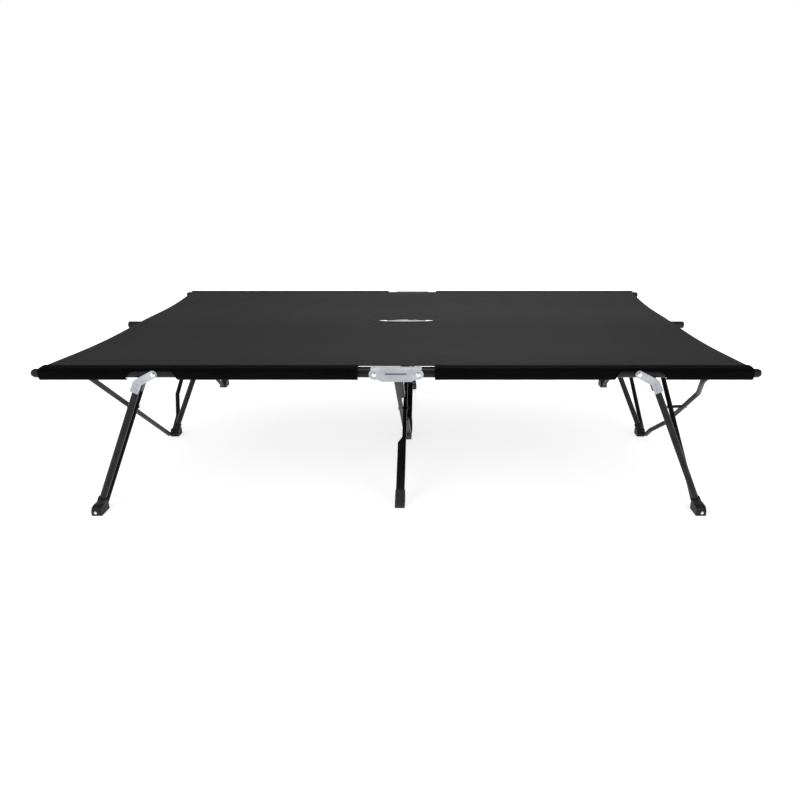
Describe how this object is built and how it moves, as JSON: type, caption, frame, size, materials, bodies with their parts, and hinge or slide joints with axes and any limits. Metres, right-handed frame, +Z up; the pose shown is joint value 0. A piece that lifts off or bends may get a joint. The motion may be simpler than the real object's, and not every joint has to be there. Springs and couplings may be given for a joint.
{
  "type": "folding camp bed",
  "caption": "Double-width folding camp bed: dark fabric on black tube rails, silver centre brackets, scissor frames and splayed legs on plastic feet",
  "frame": {"origin": "centre of the footprint on the floor", "axes": "X along the bed, Y across the bed (front rail at -Y), Z up"},
  "size_m": [2.03, 1.26, 0.4505],
  "materials": {
    "black_coated_steel": "satin powder coat",
    "galvanised_steel": "zinc plated, satin",
    "black_plastic": "matte moulded",
    "black_rubber": "matte",
    "bed_fabric": "fine plain weave, slight sheen",
    "sleeve_fabric": "fine plain weave"
  },
  "bodies": {
    "middle_bracket": {"bracket_middle": "galvanised_steel"},
    "middle_rail_left": {"rail_middle_left": "black_coated_steel", "bed_left": "bed_fabric"},
    "middle_rail_right": {"rail_middle_right": "black_coated_steel", "bed_right": "bed_fabric"},
    "centre_leg_front_inner": {"centre_leg_front_inner": "black_coated_steel", "cap_front_inner": "black_rubber"},
    "centre_leg_back_inner": {"centre_leg_back_inner": "black_coated_steel", "cap_back_inner": "black_rubber"},
    "centre_leg_front_outer": {"centre_leg_front_outer": "black_coated_steel", "cap_front_outer": "black_rubber"},
    "front_bracket": {"bracket_front": "galvanised_steel"},
    "front_rail_left": {"rail_front_left": "black_coated_steel", "plug_front_left": "black_plastic", "sleeve_front_left": "sleeve_fabric"},
    "front_rail_right": {"rail_front_right": "black_coated_steel", "plug_front_right": "black_plastic", "sleeve_front_right": "sleeve_fabric"},
    "centre_leg_back_outer": {"centre_leg_back_outer": "black_coated_steel", "cap_back_outer": "black_rubber"},
    "back_bracket": {"bracket_back": "galvanised_steel"},
    "back_rail_left": {"rail_back_left": "black_coated_steel", "plug_back_left": "black_plastic", "sleeve_back_left": "sleeve_fabric"},
    "back_rail_right": {"rail_back_right": "black_coated_steel", "plug_back_right": "black_plastic", "sleeve_back_right": "sleeve_fabric"},
    "leg_front_left": {"leg_bracket_front_left": "galvanised_steel", "leg_front_left": "black_coated_steel", "foot_front_left": "black_plastic"},
    "hub_front_left": {"hub_front_left": "black_plastic"},
    "leg_front_right": {"leg_bracket_front_right": "galvanised_steel", "leg_front_right": "black_coated_steel", "foot_front_right": "black_plastic"},
    "hub_front_right": {"hub_front_right": "black_plastic"},
    "leg_middle_left": {"leg_bracket_middle_left": "galvanised_steel", "leg_middle_left": "black_coated_steel", "foot_middle_left": "black_plastic"},
    "hub_middle_left": {"hub_middle_left": "black_plastic"},
    "leg_middle_right": {"leg_bracket_middle_right": "galvanised_steel", "leg_middle_right": "black_coated_steel", "foot_middle_right": "black_plastic"},
    "hub_middle_right": {"hub_middle_right": "black_plastic"},
    "leg_back_left": {"leg_bracket_back_left": "galvanised_steel", "leg_back_left": "black_coated_steel", "foot_back_left": "black_plastic"},
    "hub_back_left": {"hub_back_left": "black_plastic"},
    "leg_back_right": {"leg_bracket_back_right": "galvanised_steel", "leg_back_right": "black_coated_steel", "foot_back_right": "black_plastic"},
    "hub_back_right": {"hub_back_right": "black_plastic"},
    "bar_front_left_outer": {"bar_front_left_outer": "black_coated_steel"},
    "bar_front_left_inner": {"bar_front_left_inner": "black_coated_steel"},
    "bar_back_left_outer": {"bar_back_left_outer": "black_coated_steel"},
    "bar_back_left_inner": {"bar_back_left_inner": "black_coated_steel"},
    "bar_front_right_outer": {"bar_front_right_outer": "black_coated_steel"},
    "bar_front_right_inner": {"bar_front_right_inner": "black_coated_steel"},
    "bar_back_right_outer": {"bar_back_right_outer": "black_coated_steel"},
    "bar_back_right_inner": {"bar_back_right_inner": "black_coated_steel"}
  },
  "joints": [
    {"name": "left_rail_fold", "type": "hinge", "parent": "middle_bracket", "child": "middle_rail_left", "pos_m": [-0.061, 0, 0.434], "axis": [0, -1, 0], "range_deg": [0, 60]},
    {"name": "right_rail_fold", "type": "hinge", "parent": "middle_bracket", "child": "middle_rail_right", "pos_m": [0.061, 0, 0.434], "axis": [0, 1, 0], "range_deg": [0, 60]},
    {"name": "width_fold", "type": "hinge", "parent": "middle_bracket", "child": "centre_leg_front_inner", "pos_m": [0, -0.0305, 0.43], "axis": [1, 0, 0], "range_deg": [0, 48.5], "deforming": ["bed_left", "bed_right"]},
    {"name": "back_inner_leg_fold", "type": "hinge", "parent": "middle_bracket", "child": "centre_leg_back_inner", "pos_m": [0, 0.0305, 0.43], "axis": [-1, 0, 0], "range_deg": [0, 48.5]},
    {"name": "front_crossing", "type": "hinge", "parent": "centre_leg_front_inner", "child": "centre_leg_front_outer", "pos_m": [0, -0.3, 0.22092], "axis": [-1, 0, 0], "range_deg": [0, 97]},
    {"name": "front_bracket_turn", "type": "hinge", "parent": "centre_leg_front_outer", "child": "front_bracket", "pos_m": [0, -0.5695, 0.43], "axis": [1, 0, 0], "range_deg": [0, 48.5]},
    {"name": "front_left_rail_fold", "type": "hinge", "parent": "front_bracket", "child": "front_rail_left", "pos_m": [-0.061, -0.6, 0.434], "axis": [0, -1, 0], "range_deg": [0, 60]},
    {"name": "front_right_rail_fold", "type": "hinge", "parent": "front_bracket", "child": "front_rail_right", "pos_m": [0.061, -0.6, 0.434], "axis": [0, 1, 0], "range_deg": [0, 60]},
    {"name": "back_crossing", "type": "hinge", "parent": "centre_leg_back_inner", "child": "centre_leg_back_outer", "pos_m": [0, 0.3, 0.22092], "axis": [1, 0, 0], "range_deg": [0, 97]},
    {"name": "back_bracket_turn", "type": "hinge", "parent": "centre_leg_back_outer", "child": "back_bracket", "pos_m": [0, 0.5695, 0.43], "axis": [-1, 0, 0], "range_deg": [0, 48.5]},
    {"name": "back_left_rail_fold", "type": "hinge", "parent": "back_bracket", "child": "back_rail_left", "pos_m": [-0.061, 0.6, 0.434], "axis": [0, -1, 0], "range_deg": [0, 60]},
    {"name": "back_right_rail_fold", "type": "hinge", "parent": "back_bracket", "child": "back_rail_right", "pos_m": [0.061, 0.6, 0.434], "axis": [0, 1, 0], "range_deg": [0, 60]},
    {"name": "front_left_leg_fold", "type": "hinge", "parent": "front_rail_left", "child": "leg_front_left", "pos_m": [-0.674, -0.6, 0.434], "axis": [0, -1, 0], "range_deg": [0, 107.31]},
    {"name": "front_left_hub_turn", "type": "hinge", "parent": "front_rail_left", "child": "hub_front_left", "pos_m": [-0.884, -0.6, 0.434], "axis": [0, -1, 0], "range_deg": [0, 84.25]},
    {"name": "front_right_leg_fold", "type": "hinge", "parent": "front_rail_right", "child": "leg_front_right", "pos_m": [0.674, -0.6, 0.434], "axis": [0, 1, 0], "range_deg": [0, 107.31]},
    {"name": "front_right_hub_turn", "type": "hinge", "parent": "front_rail_right", "child": "hub_front_right", "pos_m": [0.884, -0.6, 0.434], "axis": [0, 1, 0], "range_deg": [0, 84.25]},
    {"name": "middle_left_leg_fold", "type": "hinge", "parent": "middle_rail_left", "child": "leg_middle_left", "pos_m": [-0.674, 0, 0.434], "axis": [0, -1, 0], "range_deg": [0, 107.31]},
    {"name": "middle_left_hub_turn", "type": "hinge", "parent": "middle_rail_left", "child": "hub_middle_left", "pos_m": [-0.884, 0, 0.434], "axis": [0, -1, 0], "range_deg": [0, 84.25]},
    {"name": "middle_right_leg_fold", "type": "hinge", "parent": "middle_rail_right", "child": "leg_middle_right", "pos_m": [0.674, 0, 0.434], "axis": [0, 1, 0], "range_deg": [0, 107.31]},
    {"name": "middle_right_hub_turn", "type": "hinge", "parent": "middle_rail_right", "child": "hub_middle_right", "pos_m": [0.884, 0, 0.434], "axis": [0, 1, 0], "range_deg": [0, 84.25]},
    {"name": "back_left_leg_fold", "type": "hinge", "parent": "back_rail_left", "child": "leg_back_left", "pos_m": [-0.674, 0.6, 0.434], "axis": [0, -1, 0], "range_deg": [0, 107.31]},
    {"name": "back_left_hub_turn", "type": "hinge", "parent": "back_rail_left", "child": "hub_back_left", "pos_m": [-0.884, 0.6, 0.434], "axis": [0, -1, 0], "range_deg": [0, 84.25]},
    {"name": "back_right_leg_fold", "type": "hinge", "parent": "back_rail_right", "child": "leg_back_right", "pos_m": [0.674, 0.6, 0.434], "axis": [0, 1, 0], "range_deg": [0, 107.31]},
    {"name": "back_right_hub_turn", "type": "hinge", "parent": "back_rail_right", "child": "hub_back_right", "pos_m": [0.884, 0.6, 0.434], "axis": [0, 1, 0], "range_deg": [0, 84.25]},
    {"name": "front_left_outer_bar_fold", "type": "hinge", "parent": "hub_front_left", "child": "bar_front_left_outer", "pos_m": [-0.884, -0.5695, 0.434], "axis": [-0.9996, 0, 0.0287], "range_deg": [0, 48.5]},
    {"name": "front_left_inner_bar_fold", "type": "hinge", "parent": "hub_middle_left", "child": "bar_front_left_inner", "pos_m": [-0.884, -0.0305, 0.434], "axis": [0.9996, 0, -0.0287], "range_deg": [0, 48.5]},
    {"name": "back_left_outer_bar_fold", "type": "hinge", "parent": "hub_back_left", "child": "bar_back_left_outer", "pos_m": [-0.884, 0.5695, 0.434], "axis": [0.9996, 0, -0.0287], "range_deg": [0, 48.5]},
    {"name": "back_left_inner_bar_fold", "type": "hinge", "parent": "hub_middle_left", "child": "bar_back_left_inner", "pos_m": [-0.884, 0.0305, 0.434], "axis": [-0.9996, 0, 0.0287], "range_deg": [0, 48.5]},
    {"name": "front_right_outer_bar_fold", "type": "hinge", "parent": "hub_front_right", "child": "bar_front_right_outer", "pos_m": [0.884, -0.5695, 0.434], "axis": [-0.9996, 0, -0.0287], "range_deg": [0, 48.5]},
    {"name": "front_right_inner_bar_fold", "type": "hinge", "parent": "hub_middle_right", "child": "bar_front_right_inner", "pos_m": [0.884, -0.0305, 0.434], "axis": [0.9996, 0, 0.0287], "range_deg": [0, 48.5]},
    {"name": "back_right_outer_bar_fold", "type": "hinge", "parent": "hub_back_right", "child": "bar_back_right_outer", "pos_m": [0.884, 0.5695, 0.434], "axis": [0.9996, 0, 0.0287], "range_deg": [0, 48.5]},
    {"name": "back_right_inner_bar_fold", "type": "hinge", "parent": "hub_middle_right", "child": "bar_back_right_inner", "pos_m": [0.884, 0.0305, 0.434], "axis": [-0.9996, 0, -0.0287], "range_deg": [0, 48.5]}
  ],
  "couplings": [
    {"joint": "back_inner_leg_fold", "follows": "width_fold", "ratio": 1},
    {"joint": "front_crossing", "follows": "width_fold", "ratio": 2},
    {"joint": "front_bracket_turn", "follows": "width_fold", "ratio": 1},
    {"joint": "front_left_rail_fold", "follows": "left_rail_fold", "ratio": 1},
    {"joint": "front_right_rail_fold", "follows": "right_rail_fold", "ratio": 1},
    {"joint": "back_crossing", "follows": "width_fold", "ratio": 2},
    {"joint": "back_bracket_turn", "follows": "width_fold", "ratio": 1},
    {"joint": "back_left_rail_fold", "follows": "left_rail_fold", "ratio": 1},
    {"joint": "back_right_rail_fold", "follows": "right_rail_fold", "ratio": 1},
    {"joint": "front_left_leg_fold", "follows": "width_fold", "ratio": 2.2125},
    {"joint": "front_left_hub_turn", "follows": "width_fold", "ratio": 1.7371},
    {"joint": "front_right_leg_fold", "follows": "width_fold", "ratio": 2.2125},
    {"joint": "front_right_hub_turn", "follows": "width_fold", "ratio": 1.7371},
    {"joint": "middle_left_leg_fold", "follows": "width_fold", "ratio": 2.2125},
    {"joint": "middle_left_hub_turn", "follows": "width_fold", "ratio": 1.7371},
    {"joint": "middle_right_leg_fold", "follows": "width_fold", "ratio": 2.2125},
    {"joint": "middle_right_hub_turn", "follows": "width_fold", "ratio": 1.7371},
    {"joint": "back_left_leg_fold", "follows": "width_fold", "ratio": 2.2125},
    {"joint": "back_left_hub_turn", "follows": "width_fold", "ratio": 1.7371},
    {"joint": "back_right_leg_fold", "follows": "width_fold", "ratio": 2.2125},
    {"joint": "back_right_hub_turn", "follows": "width_fold", "ratio": 1.7371},
    {"joint": "front_left_outer_bar_fold", "follows": "width_fold", "ratio": 1},
    {"joint": "front_left_inner_bar_fold", "follows": "width_fold", "ratio": 1},
    {"joint": "back_left_outer_bar_fold", "follows": "width_fold", "ratio": 1},
    {"joint": "back_left_inner_bar_fold", "follows": "width_fold", "ratio": 1},
    {"joint": "front_right_outer_bar_fold", "follows": "width_fold", "ratio": 1},
    {"joint": "front_right_inner_bar_fold", "follows": "width_fold", "ratio": 1},
    {"joint": "back_right_outer_bar_fold", "follows": "width_fold", "ratio": 1},
    {"joint": "back_right_inner_bar_fold", "follows": "width_fold", "ratio": 1}
  ]
}
